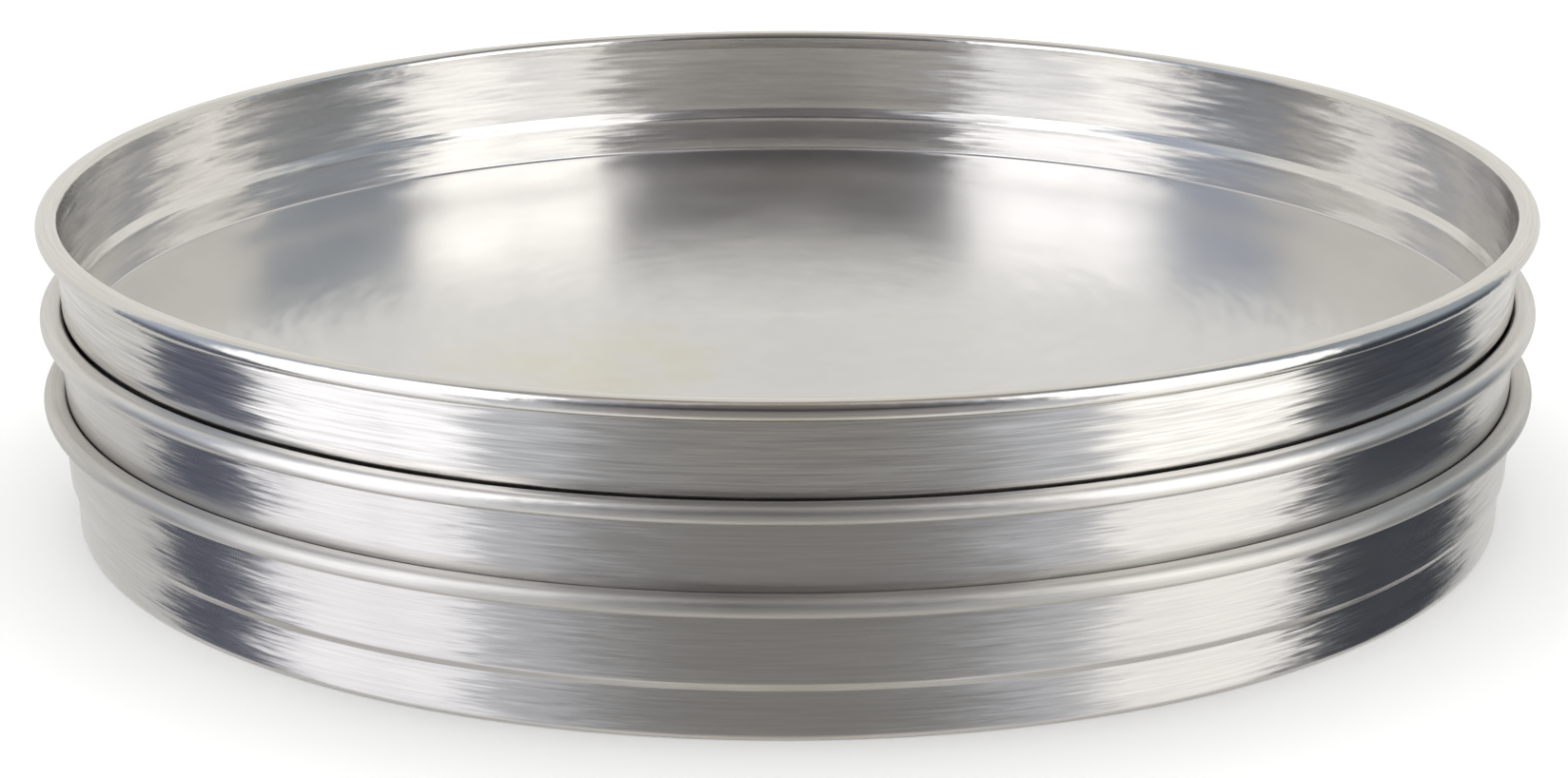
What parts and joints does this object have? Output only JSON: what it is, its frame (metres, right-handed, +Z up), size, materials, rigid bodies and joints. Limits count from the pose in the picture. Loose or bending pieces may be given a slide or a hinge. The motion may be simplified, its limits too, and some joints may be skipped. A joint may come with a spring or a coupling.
{
  "type": "stack of round pans",
  "caption": "Shallow round aluminium pans with a stepped wall and a rolled rim, nested in a stack. Each lifts straight up out of the mouth of the pan below.",
  "frame": {"origin": "middle of the underside of the bottom pan", "axes": "+Z up along the axis that every pan is turned about; +X and +Y are any two level directions, because the pans are round"},
  "size_m": [0.419, 0.419, 0.0885],
  "materials": {
    "spun_aluminium": "spun satin aluminium, with fine grooves round the axis"
  },
  "bodies": {
    "bottom_pan": {"bottom_pan": "spun_aluminium"},
    "middle_pan": {"middle_pan": "spun_aluminium"},
    "top_pan": {"top_pan": "spun_aluminium"}
  },
  "joints": [
    {"name": "middle_pan_lift", "type": "slide", "parent": "bottom_pan", "child": "middle_pan", "axis": [0, 0, 1], "range_m": [0, 0.06]},
    {"name": "top_pan_lift", "type": "slide", "parent": "middle_pan", "child": "top_pan", "axis": [0, 0, 1], "range_m": [0, 0.06]}
  ]
}
